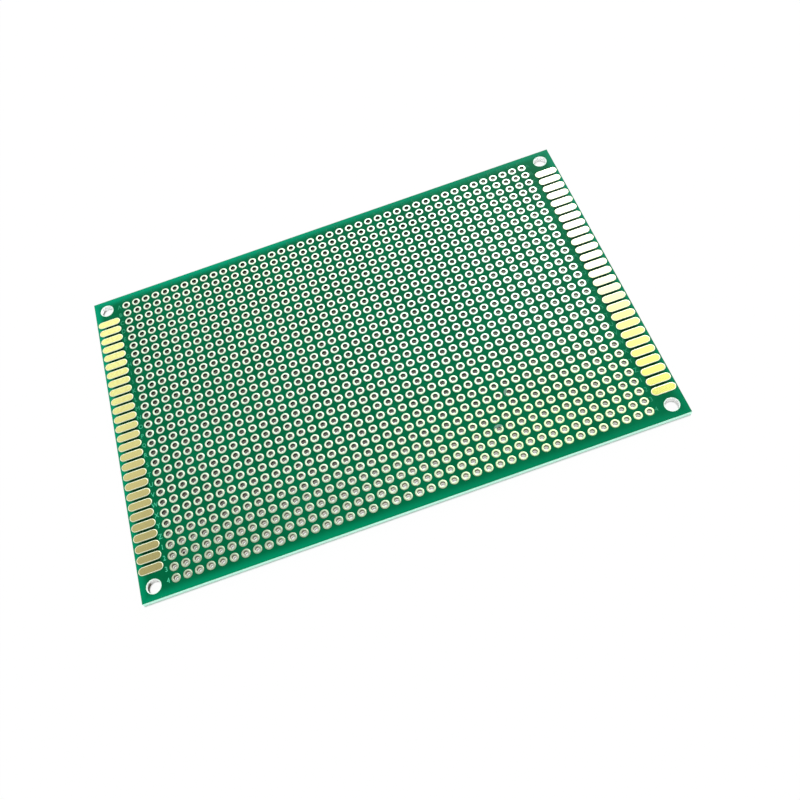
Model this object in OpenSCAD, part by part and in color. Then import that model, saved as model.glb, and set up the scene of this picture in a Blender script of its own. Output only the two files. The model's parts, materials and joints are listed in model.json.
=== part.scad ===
// Prototype board: a rectangular sheet of woven glass laminate with a grid of plated
// through holes, a row of finger pads along each short edge, a mounting hole in each
// corner and a green coat on both faces. The long side lies along X, and the board
// stands on its lower pads at z = 0.

/* [Grid of plated holes] */
// Number of hole columns along the board
grid_cols = 42; // [10:1:60]
// Number of hole rows across the board
grid_rows = 30; // [6:1:36]
// Distance between neighbouring holes
pitch = 2.54; // [2.4:0.01:3]
// Diameter of a finished hole
hole_d = 1; // [0.6:0.05:1.3]
// Thickness of the plating on the wall of a hole
plating_t = 0.03; // [0.02:0.01:0.1]
// Outer diameter of the ring pad at each end of a hole
pad_d = 1.96; // [1.6:0.01:2.2]
// Height of every pad above the laminate
pad_t = 0.05; // [0.03:0.01:0.1]

/* [Finger pads] */
// Length of a finger pad
finger_l = 5.5; // [3:0.1:8]
// Width of a finger pad
finger_w = 1.9; // [1.2:0.05:2.2]
// Bare strip between a finger pad and the short edge
finger_edge_gap = 0.25; // [0.2:0.05:1.5]
// How many fingers fewer than rows stand along a short edge
fingers_fewer = 3; // [3:1:5]

/* [Board] */
// Thickness of the laminate
laminate_t = 1.5; // [0.8:0.1:3]
// Strip between the outer ring pads and the finger pads
inner_strip = 1.2; // [0.5:0.05:3]
// Strip between the outer ring pads and a long edge
long_edge_strip = 2.19; // [1.5:0.01:5]

/* [Mounting holes] */
// Diameter of a mounting hole
mount_d = 3; // [2.5:0.1:4]
// Distance from a short edge to the middle of a mounting hole
mount_inset_x = 3; // [2.5:0.1:4.5]
// Distance from a long edge to the middle of a mounting hole
mount_inset_y = 3; // [2.5:0.1:4]
// Bare ring between a mounting hole and the coat
mount_coat_gap = 0.17; // [0.16:0.01:0.4]

/* [Green coat] */
// Thickness of the coat
coat_t = 0.025; // [0.01:0.005:0.03]
// Bare ring between a pad and the coat
coat_gap = 0.07; // [0.02:0.01:0.08]

/* [Hidden] */
$fn = 48;
letters_in_alphabet = 26;

grid_l = (grid_cols - 1) * pitch;
grid_w = (grid_rows - 1) * pitch;
board_l = grid_l + pad_d + 2 * (inner_strip + finger_l + finger_edge_gap);
board_w = grid_w + pad_d + 2 * long_edge_strip;
barrel_d = hole_d + 2 * plating_t;
laminate_top = pad_t + laminate_t;
board_top = laminate_top + pad_t;
finger_x = board_l / 2 - finger_edge_gap - finger_l / 2;
finger_count = grid_rows - fingers_fewer;
mount_x = board_l / 2 - mount_inset_x;
mount_y = board_w / 2 - mount_inset_y;

function column_x(c) = c * pitch - grid_l / 2;
function row_y(r) = grid_w / 2 - r * pitch;
function finger_y(i) = ((finger_count - 1) / 2 - i) * pitch;

// Rows are named from the +Y edge: a to z, then 1, 2, 3 and so on
function row_mark(r) = r < letters_in_alphabet
    ? chr(ord("a") + r)
    : str(r - letters_in_alphabet + 1);
function row_node(r) = str("plated_row_", row_mark(r));

// Outlines shared by the laminate, the coat and the pads
module board_outline() {
    square([board_l, board_w], center = true);
}

module mounting_holes(gap) {
    for (sx = [-1, 1], sy = [-1, 1])
        translate([sx * mount_x, sy * mount_y])
            circle(d = mount_d + 2 * gap);
}

module grid_circles(d) {
    for (c = [0 : grid_cols - 1], r = [0 : grid_rows - 1])
        translate([column_x(c), row_y(r)])
            circle(d = d);
}

module finger_outline(gap) {
    w = finger_w + 2 * gap;
    square([finger_l - finger_w, w], center = true);
    for (side = [-1, 1])
        translate([side * (finger_l - finger_w) / 2, 0])
            circle(d = w);
}

module finger_column(side, gap) {
    for (i = [0 : finger_count - 1])
        translate([side * finger_x, finger_y(i)])
            finger_outline(gap);
}

// Sheet of woven glass and resin, drilled for the plated holes and the mounting screws
module substrate() {
    color([0.84, 0.82, 0.64])
        translate([0, 0, pad_t])
            linear_extrude(laminate_t)
                difference() {
                    board_outline();
                    mounting_holes(0);
                    grid_circles(barrel_d);
                }
}

// Green coat of one face, open round every pad and mounting hole
module coat() {
    color([0, 0.45, 0.27])
        linear_extrude(coat_t)
            difference() {
                board_outline();
                mounting_holes(mount_coat_gap);
                grid_circles(pad_d + 2 * coat_gap);
                for (side = [-1, 1])
                    finger_column(side, coat_gap);
            }
}

module coat_top() {
    translate([0, 0, laminate_top])
        coat();
}

module coat_bottom() {
    translate([0, 0, pad_t - coat_t])
        coat();
}

// Tinned finger pads of one short edge on one face
module fingers(side) {
    color([0.93, 0.9, 0.66])
        linear_extrude(pad_t)
            finger_column(side, 0);
}

module fingers_top_left() {
    translate([0, 0, laminate_top])
        fingers(-1);
}

module fingers_top_right() {
    translate([0, 0, laminate_top])
        fingers(1);
}

module fingers_bottom_left() {
    fingers(-1);
}

module fingers_bottom_right() {
    fingers(1);
}

// One plated hole: a tinned copper barrel with a ring pad on each face
module plated_hole() {
    hole_r = hole_d / 2;
    barrel_r = barrel_d / 2;
    pad_r = pad_d / 2;
    rotate_extrude()
        polygon([
            [hole_r, 0],
            [pad_r, 0],
            [pad_r, pad_t],
            [barrel_r, pad_t],
            [barrel_r, laminate_top],
            [pad_r, laminate_top],
            [pad_r, board_top],
            [hole_r, board_top]
        ]);
}

// The plated holes of one row
module plated_row(r) {
    color([0.87, 0.86, 0.8])
        for (c = [0 : grid_cols - 1])
            translate([column_x(c), row_y(r), 0])
                plated_hole();
}

substrate();
coat_top();
coat_bottom();
fingers_top_left();
fingers_top_right();
fingers_bottom_left();
fingers_bottom_right();
for (r = [0 : grid_rows - 1])
    plated_row(r);
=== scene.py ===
"""A bare prototype board in a white studio: rounded tin on every ring pad and finger pad,
a glossy green coat with index marks, the pale cut edge of the laminate, two pads with
coat smeared over them and one speck of dirt. Sizes in this file are in millimetres."""

import json
import math
import random

import bpy
from mathutils import Matrix, Vector
from mathutils.geometry import delaunay_2d_cdt


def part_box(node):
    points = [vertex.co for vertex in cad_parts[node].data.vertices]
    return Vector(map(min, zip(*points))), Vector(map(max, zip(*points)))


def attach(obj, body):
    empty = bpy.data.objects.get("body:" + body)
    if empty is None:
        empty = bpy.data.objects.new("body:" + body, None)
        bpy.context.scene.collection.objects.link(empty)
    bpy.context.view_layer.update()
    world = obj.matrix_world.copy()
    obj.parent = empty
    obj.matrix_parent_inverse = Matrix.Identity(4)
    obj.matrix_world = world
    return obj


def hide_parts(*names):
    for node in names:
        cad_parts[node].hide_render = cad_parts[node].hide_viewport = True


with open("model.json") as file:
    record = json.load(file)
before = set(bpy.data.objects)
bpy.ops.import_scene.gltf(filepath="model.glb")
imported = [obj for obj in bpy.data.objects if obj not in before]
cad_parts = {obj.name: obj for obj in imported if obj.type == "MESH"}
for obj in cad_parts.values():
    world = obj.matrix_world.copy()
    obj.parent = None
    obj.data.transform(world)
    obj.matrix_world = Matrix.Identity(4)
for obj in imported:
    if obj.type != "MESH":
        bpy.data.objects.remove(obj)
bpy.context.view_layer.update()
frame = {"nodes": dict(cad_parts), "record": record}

MM = 0.001
UPPER = 1
LOWER = -1
LEFT = -1
RIGHT = 1


# Sizes read from the frame

def box_mm(node):
    low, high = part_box(node)
    return low / MM, high / MM


def middle_y(node):
    low, high = box_mm(node)
    return (low.y + high.y) / 2


def mount_sizes(name):
    return next(m["dims"] for m in frame["record"]["mounts"] if m["name"] == name)


ROW_PREFIX = "plated_row_"
row_marks = [name[len(ROW_PREFIX):] for name in frame["nodes"] if name.startswith(ROW_PREFIX)]
row_y = {mark: middle_y(ROW_PREFIX + mark) for mark in row_marks}
row_marks.sort(key=lambda mark: -row_y[mark])
first_row_y = row_y[row_marks[0]]

COLUMNS = 42
first_low, first_high = box_mm(ROW_PREFIX + row_marks[0])
board_low, board_high = box_mm("substrate")
half_l = board_high.x
half_w = board_high.y
laminate_top = board_high.z
laminate_bottom = board_low.z
pad_t = first_high.z - laminate_top
pad_r = (first_high.y - first_low.y) / 2
hole_r = mount_sizes("lead_hole")["r_mm"]
ring_w = pad_r - hole_r
pitch = (first_high.x - first_low.x - 2 * pad_r) / (COLUMNS - 1)
column_x = [first_low.x + pad_r + pitch * i for i in range(COLUMNS)]
coat_t = box_mm("coat_top")[1].z - laminate_top
coat_top_z = laminate_top + coat_t
screw_r = mount_sizes("corner_screws")["hole_r_mm"]
screw_x = mount_sizes("corner_screws")["spacing_x_mm"] / 2
screw_y = mount_sizes("corner_screws")["spacing_y_mm"] / 2

# The CAD's own values where no box or mount gives them
COAT_GAP = 0.07
SCREW_COAT_GAP = 0.17
PLATING_T = 0.03
FINGERS = 27
FINGER_W = 1.9
finger_low, finger_high = box_mm("fingers_top_left")
finger_l = finger_high.x - finger_low.x
finger_x = -(finger_low.x + finger_high.x) / 2
finger_straight = (finger_l - FINGER_W) / 2
finger_y = [pitch * ((FINGERS - 1) / 2 - i) for i in range(FINGERS)]


# Node helpers

def new_material(name):
    material = bpy.data.materials.new(name)
    material.use_nodes = True
    tree = material.node_tree
    shader = tree.nodes["Principled BSDF"]
    return material, tree, shader


def add_node(tree, kind, **values):
    """A node of that kind, with its properties and its inputs set by name."""
    node = tree.nodes.new(kind)
    for key, value in values.items():
        if hasattr(node, key):
            setattr(node, key, value)
        else:
            node.inputs[key.replace("_", " ")].default_value = value
    return node


def object_place(tree):
    """Position on the object in millimetres."""
    place = add_node(tree, "ShaderNodeTexCoord")
    scale = add_node(tree, "ShaderNodeVectorMath", operation="SCALE")
    scale.inputs["Scale"].default_value = 1 / MM
    tree.links.new(place.outputs["Object"], scale.inputs[0])
    return scale.outputs["Vector"]


def axes(tree, vector):
    """The X, Y and Z of a vector, each on its own."""
    parts = add_node(tree, "ShaderNodeSeparateXYZ")
    tree.links.new(vector, parts.inputs[0])
    return [parts.outputs[axis] for axis in "XYZ"]


def noise(tree, place, size, detail=2.0):
    """Noise from 0 to 1 whose lumps are about size millimetres across."""
    node = add_node(tree, "ShaderNodeTexNoise", Scale=1 / size, Detail=detail)
    tree.links.new(place, node.inputs["Vector"])
    return node.outputs["Fac"]


def remap(tree, value, low, high, to_low, to_high, smooth=True):
    """The range from low to high becomes the range from to_low to to_high."""
    node = add_node(tree, "ShaderNodeMapRange")
    node.interpolation_type = "SMOOTHSTEP" if smooth else "LINEAR"
    limits = {"From Min": low, "From Max": high, "To Min": to_low, "To Max": to_high}
    for key, number in limits.items():
        node.inputs[key].default_value = number
    tree.links.new(value, node.inputs["Value"])
    return node.outputs["Result"]


def mix_colour(tree, factor, first, second):
    node = add_node(tree, "ShaderNodeMix", data_type="RGBA")
    tree.links.new(factor, node.inputs[0])
    for socket, colour in ((node.inputs[6], first), (node.inputs[7], second)):
        if isinstance(colour, tuple):
            socket.default_value = (*colour, 1)
        else:
            tree.links.new(colour, socket)
    return node.outputs[2]


def mix_number(tree, factor, first, second):
    node = add_node(tree, "ShaderNodeMix")
    for socket, value in ((node.inputs[0], factor), (node.inputs[2], first), (node.inputs[3], second)):
        tree.links.new(value, socket)
    return node.outputs[0]


def calculate(tree, operation, *values):
    node = add_node(tree, "ShaderNodeMath", operation=operation)
    for socket, value in zip(node.inputs, values):
        if isinstance(value, (int, float)):
            socket.default_value = value
        else:
            tree.links.new(value, socket)
    return node.outputs[0]


def bump(tree, shader, height, distance, strength):
    node = add_node(tree, "ShaderNodeBump", Strength=strength, Distance=distance * MM)
    tree.links.new(height, node.inputs["Height"])
    tree.links.new(node.outputs["Normal"], shader.inputs["Normal"])


def patches(tree, place, size, detail=2.0, most=1.0):
    """Soft patches about size millimetres across, from 0 to most."""
    return remap(tree, noise(tree, place, size, detail), 0.35, 0.65, 0, most)


def uneven_roughness(tree, shader, place, size, detail, low, high):
    rough = remap(tree, noise(tree, place, size, detail), 0.3, 0.7, low, high)
    tree.links.new(rough, shader.inputs["Roughness"])


# Places on the board

def past(tree, value, limit):
    """How far a value, whatever its sign, is past a limit."""
    return calculate(tree, "SUBTRACT", calculate(tree, "ABSOLUTE", value), limit)


def past_rectangle(tree, x, y, half_x, half_y):
    """How far a place is outside a rectangle on the middle of the board, below 0 inside it."""
    return calculate(tree, "MAXIMUM", past(tree, x, half_x), past(tree, y, half_y))


def distance_from_screw(tree, x, y):
    """Distance in plan from the axis of the nearest corner hole."""
    sides = (past(tree, x, screw_x), past(tree, y, screw_y))
    squares = [calculate(tree, "MULTIPLY", side, side) for side in sides]
    return calculate(tree, "SQRT", calculate(tree, "ADD", *squares))


def left_of_screw(tree, x):
    """How far a place lies towards -X from the axis of the nearest corner hole."""
    axis_x = calculate(tree, "MULTIPLY", calculate(tree, "SIGN", x), screw_x)
    return calculate(tree, "SUBTRACT", axis_x, x)


def beside_fingers(tree, x, y, most):
    """Most at the middle of the finger pads' strip, 0 from their ends and the last pad on."""
    from_middle = calculate(tree, "ABSOLUTE", past(tree, x, finger_x))
    in_strip = remap(tree, from_middle, finger_l * 0.38, finger_l * 0.5, most, 0)
    along = calculate(tree, "ABSOLUTE", y)
    in_set = remap(tree, along, finger_y[0], finger_y[0] + pitch / 2, 1, 0)
    return calculate(tree, "MULTIPLY", in_strip, in_set)


# Materials

# The coat's lighter strip, a painted glow of light that enters the laminate's edge, is full up to the
# first distance from the outline, gone at the second
STRIP_FULL = 0.3
STRIP_REACH = 2.3
# How much of the painted shade the coat takes between finger pads
PAINTED_SHADE_BETWEEN_FINGERS = 0.85
# The barrel has painted shade down to the first depth below the upper face, is bright from the second
# on, and the same upwards from the lower face
UPPER_DARK, UPPER_BRIGHT = 0.4, 0.65
LOWER_DARK, LOWER_BRIGHT = 0.3, 0.6
PLY_T = 0.19


def coat_material():
    """Green coat: a painted glow near the outline, most at the left and at the back, where light
    enters the laminate's edge, and painted shade, almost black, between the finger pads."""
    material, tree, shader = new_material("green_coat")
    place = object_place(tree)
    x, y, _ = axes(tree, place)
    cloudy = patches(tree, place, 9.0, 3.0)
    inner = mix_colour(tree, cloudy, (0.0, 0.110, 0.041), (0.0, 0.130, 0.050))
    # Painted shade: the coat is almost black between the finger pads
    inner = mix_colour(tree, beside_fingers(tree, x, y, PAINTED_SHADE_BETWEEN_FINGERS), inner, (0.0, 0.012, 0.002))
    # Painted glow: the strip near the outline is lighter, more at the left and at the back, as if
    # light entered the laminate's edge
    strip = remap(
        tree, past_rectangle(tree, x, y, half_l, half_w), -STRIP_REACH, -STRIP_FULL, 0, 1)
    from_left = remap(tree, x, -half_l * 0.7, half_l * 0.95, 1, 0.55)
    back = remap(tree, y, -half_w, half_w, 0, 1)
    lighter = mix_colour(tree, back, (0.0, 0.225, 0.10), (0.0, 0.275, 0.14))
    strip = calculate(tree, "MULTIPLY", strip, from_left)
    tree.links.new(mix_colour(tree, strip, inner, lighter), shader.inputs["Base Color"])
    uneven_roughness(tree, shader, place, 1.6, 3.0, 0.2, 0.32)
    shader.inputs["Specular IOR Level"].default_value = 0.03
    bump(tree, shader, noise(tree, place, 0.7), 0.012, 0.25)
    return material


def mark_material(name, strength):
    """Index marks: copper under the coat, which shows as a lighter green, with painted light that
    makes them stronger towards the front.
    """
    material, tree, shader = new_material(name)
    place = object_place(tree)
    _, y, _ = axes(tree, place)
    worn = remap(tree, noise(tree, place, 0.5), 0.35, 0.7, 1, 0.6)
    # Painted light: the marks are stronger towards the front
    front = remap(tree, y, -half_w, half_w * 0.6, strength, strength * 0.4)
    shown = calculate(tree, "MULTIPLY", worn, front)
    colour = mix_colour(tree, shown, (0.0, 0.12, 0.045), (0.10, 0.70, 0.42))
    tree.links.new(colour, shader.inputs["Base Color"])
    shader.inputs["Roughness"].default_value = 0.3
    shader.inputs["Specular IOR Level"].default_value = 0.05
    return material


def tin_material(name, light, dull, near=None, lump=0.6, rough=(0.10, 0.16), depth=0.002):
    """Tin levelled by hot air: light with dull patches, and soft lumps that bend its
    reflections. If a colour is given as near, the tin turns to it towards the front, as a painted
    reflection."""
    material, tree, shader = new_material(name)
    place = object_place(tree)
    tin = mix_colour(tree, patches(tree, place, lump), light, dull)
    # Painted reflection: the tin turns to the near colour towards the front
    if near:
        _, y, _ = axes(tree, place)
        tin = mix_colour(tree, remap(tree, y, -half_w * 0.4, half_w * 0.5, 1, 0), tin, near)
    tree.links.new(tin, shader.inputs["Base Color"])
    uneven_roughness(tree, shader, place, lump * 0.6, 1.0, *rough)
    shader.inputs["Metallic"].default_value = 1.0
    bump(tree, shader, noise(tree, place, lump, 1.0), depth, 0.6)
    return material


def ring_material():
    """Tin of the ring pads, with painted reflections that make it duller at the near left, and
    yellower in front, most at the right.
    """
    material, tree, shader = new_material("ring_tin")
    place = object_place(tree)
    x, y, _ = axes(tree, place)
    # Painted reflection: the tint changes from left to right, is yellower in front, most at the right,
    # and darker and duller in the last rows at the left
    right = remap(tree, x, -half_l * 0.35, half_l * 0.6, 0, 1)
    front = remap(tree, y, -half_w * 0.85, 0, 1, 0)
    far_colour = mix_colour(tree, right, (0.84, 0.98, 0.80), (0.73, 0.97, 0.82))
    near_colour = mix_colour(tree, right, (0.84, 0.98, 0.74), (0.74, 0.97, 0.52))
    tin = mix_colour(tree, front, far_colour, near_colour)
    last_rows = remap(tree, y, -half_w * 0.88, -half_w * 0.52, 0.55, 0)
    left = remap(tree, x, -half_l * 0.4, half_l * 0.3, 1, 0.2)
    tin = mix_colour(tree, calculate(tree, "MULTIPLY", last_rows, left), tin, (0.33, 0.46, 0.31))
    tin = mix_colour(tree, patches(tree, place, 0.5, most=0.25), tin, (0.56, 0.68, 0.44))
    tree.links.new(tin, shader.inputs["Base Color"])
    uneven_roughness(tree, shader, place, 0.3, 1.0, 0.36, 0.48)
    shader.inputs["Metallic"].default_value = 1.0
    bump(tree, shader, noise(tree, place, 0.5, 1.0), 0.010, 0.6)
    return material


def barrel_material():
    """Tin on the wall of a hole: painted shade near both ends of the hole, brighter half way down it,
    and painted light that makes it brightest in the front rows and at the right."""
    material, tree, shader = new_material("barrel_tin")
    place = object_place(tree)
    x, y, z = axes(tree, place)
    dull = patches(tree, place, 0.3, 3.0)
    # Painted light: the wall is brightest in the front rows and at the right
    front = remap(tree, y, -half_w * 0.92, -half_w * 0.55, 1, 0)
    right = remap(tree, x, half_l * 0.35, half_l * 0.8, 0, 0.6)
    lit = calculate(tree, "MAXIMUM", front, right)
    dark_middle = mix_colour(tree, dull, (0.17, 0.155, 0.115), (0.09, 0.08, 0.055))
    lit_middle = mix_colour(tree, dull, (0.95, 0.97, 0.86), (0.74, 0.76, 0.66))
    middle = mix_colour(tree, lit, dark_middle, lit_middle)
    # Painted shade: the wall is dark near both ends of the hole
    ends = mix_colour(tree, lit, (0.012, 0.009, 0.006), (0.20, 0.17, 0.12))
    below = remap(tree, z, laminate_top - UPPER_BRIGHT, laminate_top - UPPER_DARK, 1, 0)
    above = remap(tree, z, laminate_bottom + LOWER_DARK, laminate_bottom + LOWER_BRIGHT, 0, 1)
    between = calculate(tree, "MULTIPLY", below, above)
    tree.links.new(mix_colour(tree, between, ends, middle), shader.inputs["Base Color"])
    shader.inputs["Roughness"].default_value = 0.28
    shader.inputs["Metallic"].default_value = 1.0
    return material


def laminate_material():
    """Woven glass laminate: painted shade between pad and coat, pale along its cut edges, with a
    painted glow on their upper part and painted shade on the back edge, and pale round the corner
    holes, whose walls are white with painted shade on their lower left part."""
    material, tree, shader = new_material("laminate")
    place = object_place(tree)
    x, y, z = axes(tree, place)
    ply = calculate(tree, "SINE", calculate(tree, "MULTIPLY", z, 2 * math.pi / PLY_T))
    fibres = noise(tree, place, 0.12, 3.0)
    layers = calculate(tree, "ADD", calculate(tree, "MULTIPLY", ply, 0.25), fibres)
    layered = remap(tree, layers, 0.3, 0.8, 0, 1)
    wall = mix_colour(tree, layered, (0.54, 0.72, 0.64), (0.44, 0.58, 0.51))
    # Painted glow: the upper part of the cut edge is paler and mint, as light comes through the
    # laminate
    wall = mix_colour(tree, remap(tree, z, 0.3, 0.8, 0, 1), wall, (0.56, 0.97, 0.80))
    # Painted shade: the back edge is darker
    back = remap(tree, y, half_w * 0.98, half_w, 0, 0.7)
    wall = mix_colour(tree, back, wall, (0.18, 0.34, 0.26))
    at_screw = remap(tree, distance_from_screw(tree, x, y), screw_r + 0.3, screw_r + 0.6, 1, 0)
    wall = mix_colour(tree, at_screw, wall, (0.97, 0.98, 0.97))
    # Painted shade: the lower left part of a corner hole's wall is dark, reaching higher towards the
    # front
    left = remap(tree, left_of_screw(tree, x), screw_r * 0.3, screw_r * 0.7, 0, 1)
    front = remap(tree, y, -half_w * 0.7, 0, 1, 0.35)
    low = remap(tree, calculate(tree, "DIVIDE", z, front), 0.7, 1.5, 1, 0)
    shaded = calculate(tree, "MULTIPLY", at_screw, calculate(tree, "MULTIPLY", left, low))
    wall = mix_colour(tree, shaded, wall, (0.07, 0.05, 0.03))
    # Painted shade: the flat faces between pad and coat are almost black; round the corner holes they
    # are the pale bare laminate
    bare = mix_colour(tree, at_screw, (0.02, 0.05, 0.02), (0.72, 0.92, 0.82))
    normal = add_node(tree, "ShaderNodeNewGeometry").outputs["Normal"]
    upright = calculate(tree, "ABSOLUTE", axes(tree, normal)[2])
    flat = remap(tree, upright, 0.5, 0.9, 0, 1)
    tree.links.new(mix_colour(tree, flat, wall, bare), shader.inputs["Base Color"])
    shader.inputs["Roughness"].default_value = 0.6
    bump(tree, shader, fibres, 0.01, 0.3)
    return material


def plain_material(name, colour, roughness, lump):
    """One colour, broken up by a fine noise."""
    material, tree, shader = new_material(name)
    darker = tuple(part * 0.6 for part in colour)
    dark = patches(tree, object_place(tree), lump, 3.0)
    tree.links.new(mix_colour(tree, dark, colour, darker), shader.inputs["Base Color"])
    shader.inputs["Roughness"].default_value = roughness
    return material


COAT = coat_material()
LEFT_MARK = mark_material("left_mark", 1.0)
FAINT_MARK = mark_material("faint_mark", 0.35)
RING_TIN = ring_material()
# Painted reflection: the right finger pads are whiter than the left ones, and both turn to their near
# colour towards the front
FINGER_TIN = {
    LEFT: tin_material(
        "finger_tin", (0.97, 0.99, 0.39), (0.94, 0.91, 0.33), near=(0.99, 0.88, 0.37)),
    RIGHT: tin_material(
        "finger_tin_right", (0.98, 1.0, 0.76), (0.96, 0.98, 0.70), near=(0.98, 0.98, 0.265)),
}
RIM_TIN = tin_material(
    "rim_tin", (0.94, 0.99, 0.76), (0.90, 0.96, 0.70), lump=0.5, rough=(0.55, 0.65), depth=0.004)
BARREL = barrel_material()
LAMINATE = laminate_material()
SMEAR = plain_material("coat_smear", (0.17, 0.32, 0.24), 0.35, 0.25)
DIRT = plain_material("dirt", (0.006, 0.005, 0.004), 0.8, 0.3)


# Mesh helpers

def add_piece(name, points, faces, materials, smooth=True, face_material=None):
    """A mesh piece from points in millimetres, riding on the board."""
    mesh = bpy.data.meshes.new(name)
    mesh.from_pydata([tuple(part * MM for part in point) for point in points], [], faces)
    for material in materials:
        mesh.materials.append(material)
    mesh.polygons.foreach_set("use_smooth", [smooth] * len(mesh.polygons))
    if face_material:
        mesh.polygons.foreach_set("material_index", face_material)
    mesh.update()
    piece = bpy.data.objects.new(name, mesh)
    bpy.context.scene.collection.objects.link(piece)
    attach(piece, "root")
    return piece


def circle_points(x, y, radius, count):
    turns = [2 * math.pi * i / count for i in range(count)]
    return [(x + radius * math.cos(t), y + radius * math.sin(t)) for t in turns]


def band(first, second, count):
    """Faces between two rings of count points, which start at those two numbers."""
    pairs = [(i, (i + 1) % count) for i in range(count)]
    return [(first + i, first + j, second + j, second + i) for i, j in pairs]


FINGER_END_STEPS = 8


def finger_outline(x, y, inset):
    """Outline of a finger pad with full round ends, moved in by inset."""
    radius = FINGER_W / 2 - inset
    points = []
    for side in (RIGHT, LEFT):
        middle_x = x + side * finger_straight
        for i in range(FINGER_END_STEPS + 1):
            turn = math.pi * i / FINGER_END_STEPS - side * math.pi / 2
            points.append((middle_x + radius * math.cos(turn), y + radius * math.sin(turn)))
    return points


# Plated holes: each one is a closed ring of this section, from the upper pad's foot inwards

RING_SEGMENTS = 20
# Shares of the way from the hole to the pad's rim, with heights in pad thicknesses
UPPER_SECTION = [
    (1, 0), (0.94, 0.7), (0.80, 1), (0.32, 1), (0.17, 0.75), (0.03, -0.3), (0, -1.8)]
LOWER_SECTION = [(0, -1.5), (0.12, 1), (0.92, 1), (1, 0)]
# The last steps of the upper section and the wall below them show the barrel's tin
BARREL_STEPS = 3
# A ring pad is up to this share lower a quarter turn from its thick side, and up to twice
# that lower opposite it. The thick side lies within the spread of the hot air's turn.
LOPSIDED = 0.18
LEAST_LOPSIDED = 0.3
HOT_AIR_TURN = math.radians(235)
TURN_SPREAD = 0.9
ROW_SEED = 11


def ring_section():
    """Radius, level of the foot, rise above it, and whether the rise swells with the pad."""
    points = []
    for share, height in UPPER_SECTION:
        points.append((hole_r + share * ring_w, laminate_top, height * pad_t, height > 0))
    for share, height in LOWER_SECTION:
        points.append((hole_r + share * ring_w, laminate_bottom, -height * pad_t, False))
    plated_r = hole_r + PLATING_T
    points += [(plated_r, laminate_bottom, 0, False), (plated_r, laminate_top, 0, False)]
    return points


def ring_row(mark, random_source):
    section = ring_section()
    barrel = range(len(UPPER_SECTION) - BARREL_STEPS, len(UPPER_SECTION))
    points, faces, face_material = [], [], []
    for x in column_x:
        start = len(points)
        thick_side = HOT_AIR_TURN + random_source.uniform(-TURN_SPREAD, TURN_SPREAD)
        swell = random_source.uniform(LEAST_LOPSIDED, 1) * LOPSIDED
        for radius, level, rise, swells in section:
            for i in range(RING_SEGMENTS):
                turn = 2 * math.pi * i / RING_SEGMENTS
                share = 1 - swell + swell * math.cos(turn - thick_side) if swells else 1
                points.append((
                    x + radius * math.cos(turn),
                    row_y[mark] + radius * math.sin(turn),
                    level + rise * share,
                ))
        for ring in range(len(section)):
            after = (ring + 1) % len(section)
            faces += band(
                start + ring * RING_SEGMENTS, start + after * RING_SEGMENTS, RING_SEGMENTS)
            face_material += [1 if ring in barrel else 0] * RING_SEGMENTS
    piece = add_piece(
        "ring_pads_" + mark, points, faces, [RING_TIN, BARREL],
        face_material=face_material)
    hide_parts(ROW_PREFIX + mark)


# Finger pads

# Insets from the outline in millimetres, with heights in pad thicknesses. The steps make the
# rim, which is dull like the ring pads, and the bright flat middle starts at the last one.
FINGER_SECTION = [(0, 0), (0.03, 0.6), (0.08, 0.93), (0.15, 1), (0.16, 1)]


def finger_set(name, node, face, side):
    """The finger pads of one short edge on one face."""
    level = laminate_top if face == UPPER else laminate_bottom
    points, faces, face_material = [], [], []
    for y in finger_y:
        start = len(points)
        for inset, height in FINGER_SECTION:
            outline = finger_outline(side * finger_x, y, inset)
            points += [(px, py, level + face * height * pad_t) for px, py in outline]
        count = len(outline)
        crown_start = len(points) - count
        for ring_start in range(start, crown_start, count):
            faces += band(ring_start, ring_start + count, count)
            face_material += [1] * count
        foot = tuple(range(start, start + count))
        crown = tuple(range(crown_start, len(points)))
        faces += [crown, foot[::-1]]
        face_material += [0, 1]
    if face == LOWER:
        faces = [polygon[::-1] for polygon in faces]
    piece = add_piece(
        name, points, faces, [FINGER_TIN[side], RIM_TIN],
        face_material=face_material)
    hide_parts(node)


# Coat of the upper face, open round every pad and corner hole

SCREW_SEGMENTS = 48
SAME_POINT = 1e-5


def coat_loops():
    """Outline first, then every opening, each a closed loop of points."""
    loops = [[(-half_l, -half_w), (half_l, -half_w), (half_l, half_w), (-half_l, half_w)]]
    for mark in row_marks:
        for x in column_x:
            loops.append(circle_points(x, row_y[mark], pad_r + COAT_GAP, RING_SEGMENTS))
    for sx in (LEFT, RIGHT):
        for y in finger_y:
            loops.append(finger_outline(sx * finger_x, y, -COAT_GAP))
        for sy in (-1, 1):
            loops.append(circle_points(
                sx * screw_x, sy * screw_y, screw_r + SCREW_COAT_GAP, SCREW_SEGMENTS))
    return loops


def nearest_step(distance, count):
    """Number of the nearest of count steps, one pitch apart."""
    return min(max(round(distance / pitch), 0), count - 1)


def in_opening(x, y):
    """Whether a point lies in one of the coat's openings."""
    column = nearest_step(x - column_x[0], COLUMNS)
    row = nearest_step(first_row_y - y, len(row_marks))
    if math.hypot(x - column_x[column], y - (first_row_y - row * pitch)) < pad_r + COAT_GAP:
        return True
    if math.hypot(abs(x) - screw_x, abs(y) - screw_y) < screw_r + SCREW_COAT_GAP:
        return True
    finger = nearest_step(finger_y[0] - y, FINGERS)
    past_end = max(abs(abs(x) - finger_x) - finger_straight, 0)
    return math.hypot(past_end, y - finger_y[finger]) < FINGER_W / 2 + COAT_GAP


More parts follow.
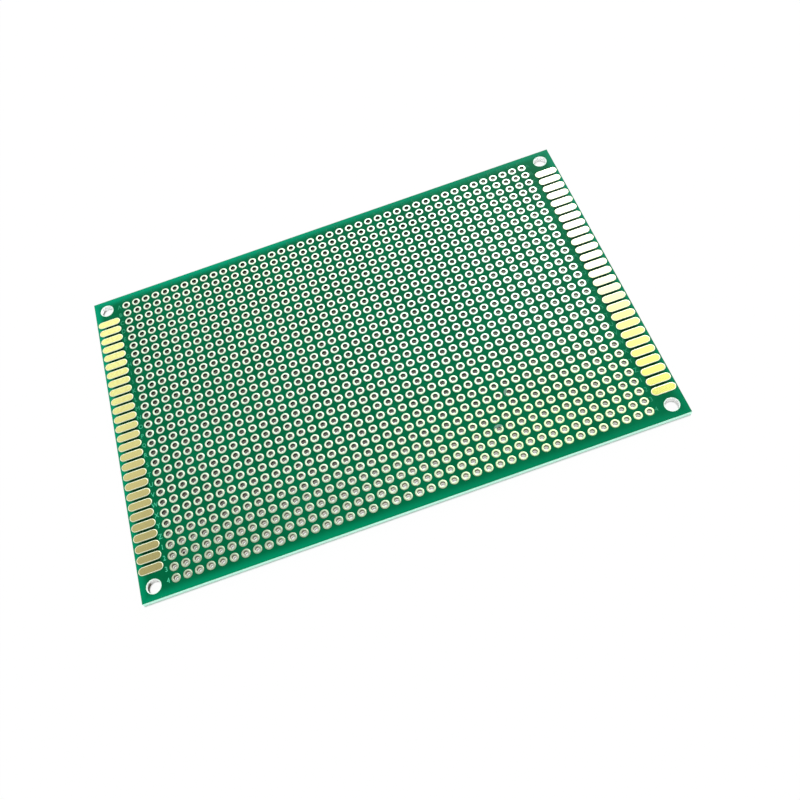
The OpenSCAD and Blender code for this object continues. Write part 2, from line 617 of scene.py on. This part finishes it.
def upper_coat():
    flat, edges = [], []
    for loop in coat_loops():
        start = len(flat)
        edges += [(start + i, start + (i + 1) % len(loop)) for i in range(len(loop))]
        flat += [Vector(point) for point in loop]
    found = delaunay_2d_cdt(flat, edges, [], 0, SAME_POINT)
    plan, triangles = found[0], found[2]
    kept = []
    for triangle in triangles:
        x = sum(plan[i].x for i in triangle) / 3
        y = sum(plan[i].y for i in triangle) / 3
        if not in_opening(x, y):
            kept.append(tuple(triangle))
    count = len(plan)
    points = [(p.x, p.y, z) for z in (coat_top_z, laminate_top) for p in plan]
    faces = kept + [tuple(i + count for i in reversed(triangle)) for triangle in kept]
    sides = dict.fromkeys((t[i], t[(i + 1) % 3]) for t in kept for i in range(3))
    walls = [(a, b) for a, b in sides if (b, a) not in sides]
    faces += [(b, a, a + count, b + count) for a, b in walls]
    piece = add_piece("coat_upper", points, faces, [COAT], smooth=False)
    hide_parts("coat_top")


# Index marks: a letter or figure for each row at both ends, and a letter for each column

MARK_HEIGHT = 1.1
MARK_RISE = 0.012
LEFT_MARK_X = -53.8
RIGHT_MARK_X = 53.6
COLUMN_MARK_Y = 38.65
COLUMN_MARK_SHIFT = -0.4
MARK_NARROWING = 0.85
LETTERS = "ABCDEFGHIJKLMNOPQRSTUVWXYZ"
glyphs = {}


def glyph(letter):
    """Points and faces of a letter one unit high, standing on y = 0 and centred on x = 0."""
    if letter not in glyphs:
        curve = bpy.data.curves.new("letter", "FONT")
        curve.body = letter
        curve.resolution_u = 3
        curve.extrude = 0.5
        holder = bpy.data.objects.new("letter", curve)
        bpy.context.scene.collection.objects.link(holder)
        shape = holder.evaluated_get(bpy.context.evaluated_depsgraph_get()).to_mesh()
        points = [v.co.copy() for v in shape.vertices]
        faces = [tuple(p.vertices) for p in shape.polygons]
        bpy.data.objects.remove(holder)
        bpy.data.curves.remove(curve)
        low_x, high_x = min(p.x for p in points), max(p.x for p in points)
        low_y, high_y = min(p.y for p in points), max(p.y for p in points)
        unit = high_y - low_y
        centre = (low_x + high_x) / 2
        points = [((p.x - centre) / unit, (p.y - low_y) / unit, p.z) for p in points]
        glyphs[letter] = (points, faces)
    return glyphs[letter]


def mark_line(name, material, placed):
    """One piece of many marks, each given as a letter and the middle of its place. The lower
    half of each mark is sunk in the coat."""
    points, faces = [], []
    for letter, x, y in placed:
        shape, polygons = glyph(letter)
        start = len(points)
        for px, py, pz in shape:
            points.append((
                x + px * MARK_HEIGHT * MARK_NARROWING,
                y + (py - 0.5) * MARK_HEIGHT,
                coat_top_z + pz * 2 * MARK_RISE,
            ))
        faces += [tuple(start + i for i in polygon) for polygon in polygons]
    add_piece(name, points, faces, [material], smooth=False)


# Coat smeared over part of two pads, and a speck of dirt in a hole

# Column and row counted from 0, the middle of the smear's turn, and half its spread, in degrees
SMEARS = [(31, 23, 160, 62), (29, 26, 88, 68)]
SMEAR_T = 0.012
SMEAR_REACH = 0.14
SMEAR_IN_HOLE = 0.02
SMEAR_TAPER = 0.55
SMEAR_STEPS = 16
SPECK_COLUMN = 1
SPECK_ROW = 27
SPECK_SHIFT = (-0.06, -0.27, -0.06)
SPECK_R = 0.3
SPECK_FLATNESS = 0.3
SPECK_UNEVEN = (0.75, 1.15)
SPECK_RINGS = 6
SPECK_SEGMENTS = 10
SPECK_SEED = 7


def smear(name, column, row, middle, spread):
    """A thin film that lies over the pad and runs down into its hole."""
    outer_r = pad_r + SMEAR_REACH
    section = [(outer_r, coat_t)]
    for share, height in UPPER_SECTION:
        if height > 0:
            section.append((hole_r + share * ring_w, height * pad_t))
    section.append((hole_r - SMEAR_IN_HOLE, -SMEAR_IN_HOLE))
    centre_x = column_x[column]
    centre_y = row_y[row_marks[row]]
    points = []
    for lift, lowest in ((SMEAR_T, 0), (-SMEAR_T, -SMEAR_IN_HOLE)):
        for i in range(SMEAR_STEPS + 1):
            share = 2 * i / SMEAR_STEPS - 1
            turn = math.radians(middle + spread * share)
            width_share = 1 - abs(share) ** 3 * SMEAR_TAPER
            for radius, height in section:
                reach = outer_r - (outer_r - radius) * width_share
                points.append((
                    centre_x + reach * math.cos(turn),
                    centre_y + reach * math.sin(turn),
                    laminate_top + min(max(height, lowest) + lift, pad_t),
                ))
    width = len(section)
    count = (SMEAR_STEPS + 1) * width
    faces = []
    for i in range(SMEAR_STEPS):
        for k in range(width - 1):
            a = i * width + k
            quad = (a, a + 1, a + width + 1, a + width)
            faces.append(quad[::-1])
            faces.append(tuple(n + count for n in quad))
    rim = list(range(width))
    rim += [i * width + width - 1 for i in range(1, SMEAR_STEPS + 1)]
    rim += [SMEAR_STEPS * width + k for k in range(width - 2, -1, -1)]
    rim += [i * width for i in range(SMEAR_STEPS - 1, 0, -1)]
    for a, b in zip(rim, rim[1:] + rim[:1]):
        faces.append((a, b, b + count, a + count))
    add_piece(name, points, faces, [SMEAR])


def speck():
    """A small rough lump that clings to the wall of its hole."""
    source = random.Random(SPECK_SEED)
    x = column_x[SPECK_COLUMN] + SPECK_SHIFT[0]
    y = row_y[row_marks[SPECK_ROW]] + SPECK_SHIFT[1]
    z = laminate_top + SPECK_SHIFT[2]
    points = [(x, y, z - SPECK_R * SPECK_FLATNESS)]
    for k in range(1, SPECK_RINGS):
        polar = math.pi * k / SPECK_RINGS
        for i in range(SPECK_SEGMENTS):
            turn = 2 * math.pi * i / SPECK_SEGMENTS
            size = SPECK_R * source.uniform(*SPECK_UNEVEN)
            points.append((
                x + size * math.sin(polar) * math.cos(turn),
                y + size * math.sin(polar) * math.sin(turn),
                z - size * SPECK_FLATNESS * math.cos(polar),
            ))
    points.append((x, y, z + SPECK_R * SPECK_FLATNESS))
    last = len(points) - 1
    pairs = [(i, (i + 1) % SPECK_SEGMENTS) for i in range(SPECK_SEGMENTS)]
    faces = [(0, 1 + j, 1 + i) for i, j in pairs]
    for start in range(1, last - SPECK_SEGMENTS, SPECK_SEGMENTS):
        faces += band(start, start + SPECK_SEGMENTS, SPECK_SEGMENTS)
    top_ring = last - SPECK_SEGMENTS
    faces += [(top_ring + i, top_ring + j, last) for i, j in pairs]
    add_piece("dirt_speck", points, faces, [DIRT])


# The board

row_source = random.Random(ROW_SEED)
for mark in row_marks:
    ring_row(mark, row_source)
for face, level in ((UPPER, "top"), (LOWER, "bottom")):
    for side, edge in ((LEFT, "left"), (RIGHT, "right")):
        finger_set(f"finger_pads_{level}_{edge}", f"fingers_{level}_{edge}", face, side)
upper_coat()
row_places = [(mark.upper(), row_y[mark]) for mark in row_marks]
mark_line("row_marks_left", LEFT_MARK, [(letter, LEFT_MARK_X, y) for letter, y in row_places])
mark_line("row_marks_right", FAINT_MARK, [(letter, RIGHT_MARK_X, y) for letter, y in row_places])
mark_line("column_marks", FAINT_MARK, [
    (LETTERS[i % len(LETTERS)], x + COLUMN_MARK_SHIFT, COLUMN_MARK_Y)
    for i, x in enumerate(column_x)])
for number, (column, row, middle, spread) in enumerate(SMEARS):
    smear(f"coat_smear_{number + 1}", column, row, middle, spread)
speck()
for node, material in (("substrate", LAMINATE), ("coat_bottom", COAT)):
    frame["nodes"][node].data.materials.clear()
    frame["nodes"][node].data.materials.append(material)


# Studio

FLOOR_HALF = 1500.0
# The floor's own white as seen, beside the outline and from there on
OUTLINE_WHITE = 0.42
OUTLINE_REACH = 0.33
OPEN_WHITE = 0.98
# The same under the plated holes, in the middle of a corner hole and at its wall
GRID_WHITE = 0.85
SCREW_MIDDLE_WHITE = 0.96
SCREW_WALL_WHITE = 0.1


def white_share(tree):
    """Share of its own white that the floor shows: almost all of it away from the board, less
    beside the outline and below the holes, so that the shadow shows."""
    x, y, _ = axes(tree, object_place(tree))
    past_grid = past_rectangle(tree, x, y, column_x[-1] + pad_r, first_row_y + pad_r)
    past_board = past_rectangle(tree, x, y, half_l, half_w)
    beside = remap(tree, past_board, 0.0, OUTLINE_REACH, OUTLINE_WHITE, OPEN_WHITE)
    in_screw = remap(
        tree, distance_from_screw(tree, x, y), screw_r - 0.3, screw_r,
        SCREW_MIDDLE_WHITE, SCREW_WALL_WHITE)
    in_grid = calculate(
        tree, "MULTIPLY", calculate(tree, "LESS_THAN", past_grid, 0), GRID_WHITE)
    below = calculate(tree, "MAXIMUM", in_screw, in_grid)
    return mix_number(tree, calculate(tree, "LESS_THAN", past_board, 0), beside, below)


def studio_floor():
    """White floor, which shows mostly its own white to the camera, in mirrors and through
    glass, and takes light and shadow like any surface for all other rays."""
    half = FLOOR_HALF * MM
    mesh = bpy.data.meshes.new("studio_floor")
    mesh.from_pydata(
        [(-half, -half, 0), (half, -half, 0), (half, half, 0), (-half, half, 0)],
        [], [(0, 1, 2, 3)])
    floor = bpy.data.objects.new("studio_floor", mesh)
    bpy.context.scene.collection.objects.link(floor)
    material, tree, shader = new_material("floor_white")
    shader.inputs["Base Color"].default_value = (0.92, 0.92, 0.92, 1)
    shader.inputs["Roughness"].default_value = 0.9
    shader.inputs["Specular IOR Level"].default_value = 0.0
    white = add_node(tree, "ShaderNodeEmission", Strength=1.0)
    white.inputs["Color"].default_value = (1, 1, 1, 1)
    rays = add_node(tree, "ShaderNodeLightPath").outputs
    mirrored = calculate(
        tree, "MAXIMUM", rays["Is Glossy Ray"], rays["Is Transmission Ray"])
    seen = calculate(tree, "MAXIMUM", rays["Is Camera Ray"], mirrored)
    mixer = add_node(tree, "ShaderNodeMixShader")
    tree.links.new(calculate(tree, "MULTIPLY", seen, white_share(tree)), mixer.inputs[0])
    tree.links.new(shader.outputs[0], mixer.inputs[1])
    tree.links.new(white.outputs[0], mixer.inputs[2])
    tree.links.new(mixer.outputs[0], tree.nodes["Material Output"].inputs["Surface"])
    mesh.materials.append(material)


# In degrees, from +Y towards +X and up from the floor
GLOW_AZIMUTH = 35
GLOW_ELEVATION = 25
# Cosines of the angle from the glow's middle, where its wide part starts, where its core
# starts and where the core is full
GLOW_START = 0.70
CORE_START = 0.857
CORE_FULL = 0.880
CORE_STRENGTH = 1.4
LOW_SKY = 1.1
HIGH_SKY = 0.3
LAMP_ELEVATION = 33


def direction(azimuth, elevation):
    """Unit vector from the board. Azimuth is turned from +Y towards +X, in degrees."""
    a, e = math.radians(azimuth), math.radians(elevation)
    return Vector((math.sin(a) * math.cos(e), math.cos(a) * math.cos(e), math.sin(e)))


def studio_world():
    """White up to high above the horizon, grey overhead, with a wide soft glow low at the far
    right that has a brighter core."""
    world = bpy.data.worlds.new("studio")
    world.use_nodes = True
    bpy.context.scene.world = world
    tree = world.node_tree
    background = tree.nodes["Background"]
    place = add_node(tree, "ShaderNodeTexCoord").outputs["Generated"]
    sky = remap(tree, axes(tree, place)[2], 0.72, 0.90, LOW_SKY, HIGH_SKY)
    towards = add_node(tree, "ShaderNodeVectorMath", operation="DOT_PRODUCT")
    tree.links.new(place, towards.inputs[0])
    towards.inputs[1].default_value = direction(GLOW_AZIMUTH, GLOW_ELEVATION)
    cosine = towards.outputs["Value"]
    wide = remap(tree, cosine, GLOW_START, CORE_START, 0, 1, smooth=False)
    wide = calculate(tree, "MULTIPLY", wide, wide)
    core = remap(tree, cosine, CORE_START, CORE_FULL, 0, CORE_STRENGTH)
    glow = calculate(tree, "ADD", wide, core)
    tree.links.new(calculate(tree, "ADD", sky, glow), background.inputs["Strength"])
    background.inputs["Color"].default_value = (1, 1, 1, 1)


def softbox(name, azimuth, elevation, distance, width, height, radiance):
    """A panel light aimed at the board."""
    towards = direction(azimuth, elevation)
    data = bpy.data.lights.new(name, "AREA")
    data.shape = "RECTANGLE"
    data.size = width * MM
    data.size_y = height * MM
    data.energy = radiance * math.pi * width * MM * height * MM
    lamp = bpy.data.objects.new(name, data)
    bpy.context.scene.collection.objects.link(lamp)
    lamp.location = towards * distance * MM
    lamp.rotation_euler = (-towards).to_track_quat("-Z", "Y").to_euler()


def studio_camera():
    """The photograph's viewpoint: from the front and above, with the camera rolled."""
    board_top = laminate_top + pad_t
    place = Vector((0.84, -110.19, 168.53 + board_top))
    target = Vector((3.90, -14.52, board_top))
    roll = math.radians(-17.67)
    focal_pixels = 880.2
    picture_pixels = 800
    data = bpy.data.cameras.new("camera")
    data.sensor_width = 36.0
    data.lens = focal_pixels / picture_pixels * data.sensor_width
    data.clip_start = 0.01
    data.clip_end = 20.0
    camera = bpy.data.objects.new("camera", data)
    bpy.context.scene.collection.objects.link(camera)
    camera.location = place * MM
    look = (target - place).to_track_quat("-Z", "Y").to_matrix()
    camera.rotation_euler = (look @ Matrix.Rotation(roll, 3, "Z")).to_euler()
    bpy.context.scene.camera = camera


studio_floor()
studio_world()
softbox(
    "back_softbox", GLOW_AZIMUTH, LAMP_ELEVATION,
    distance=600, width=200, height=150, radiance=7)
studio_camera()
bpy.context.scene.view_settings.view_transform = "Standard"
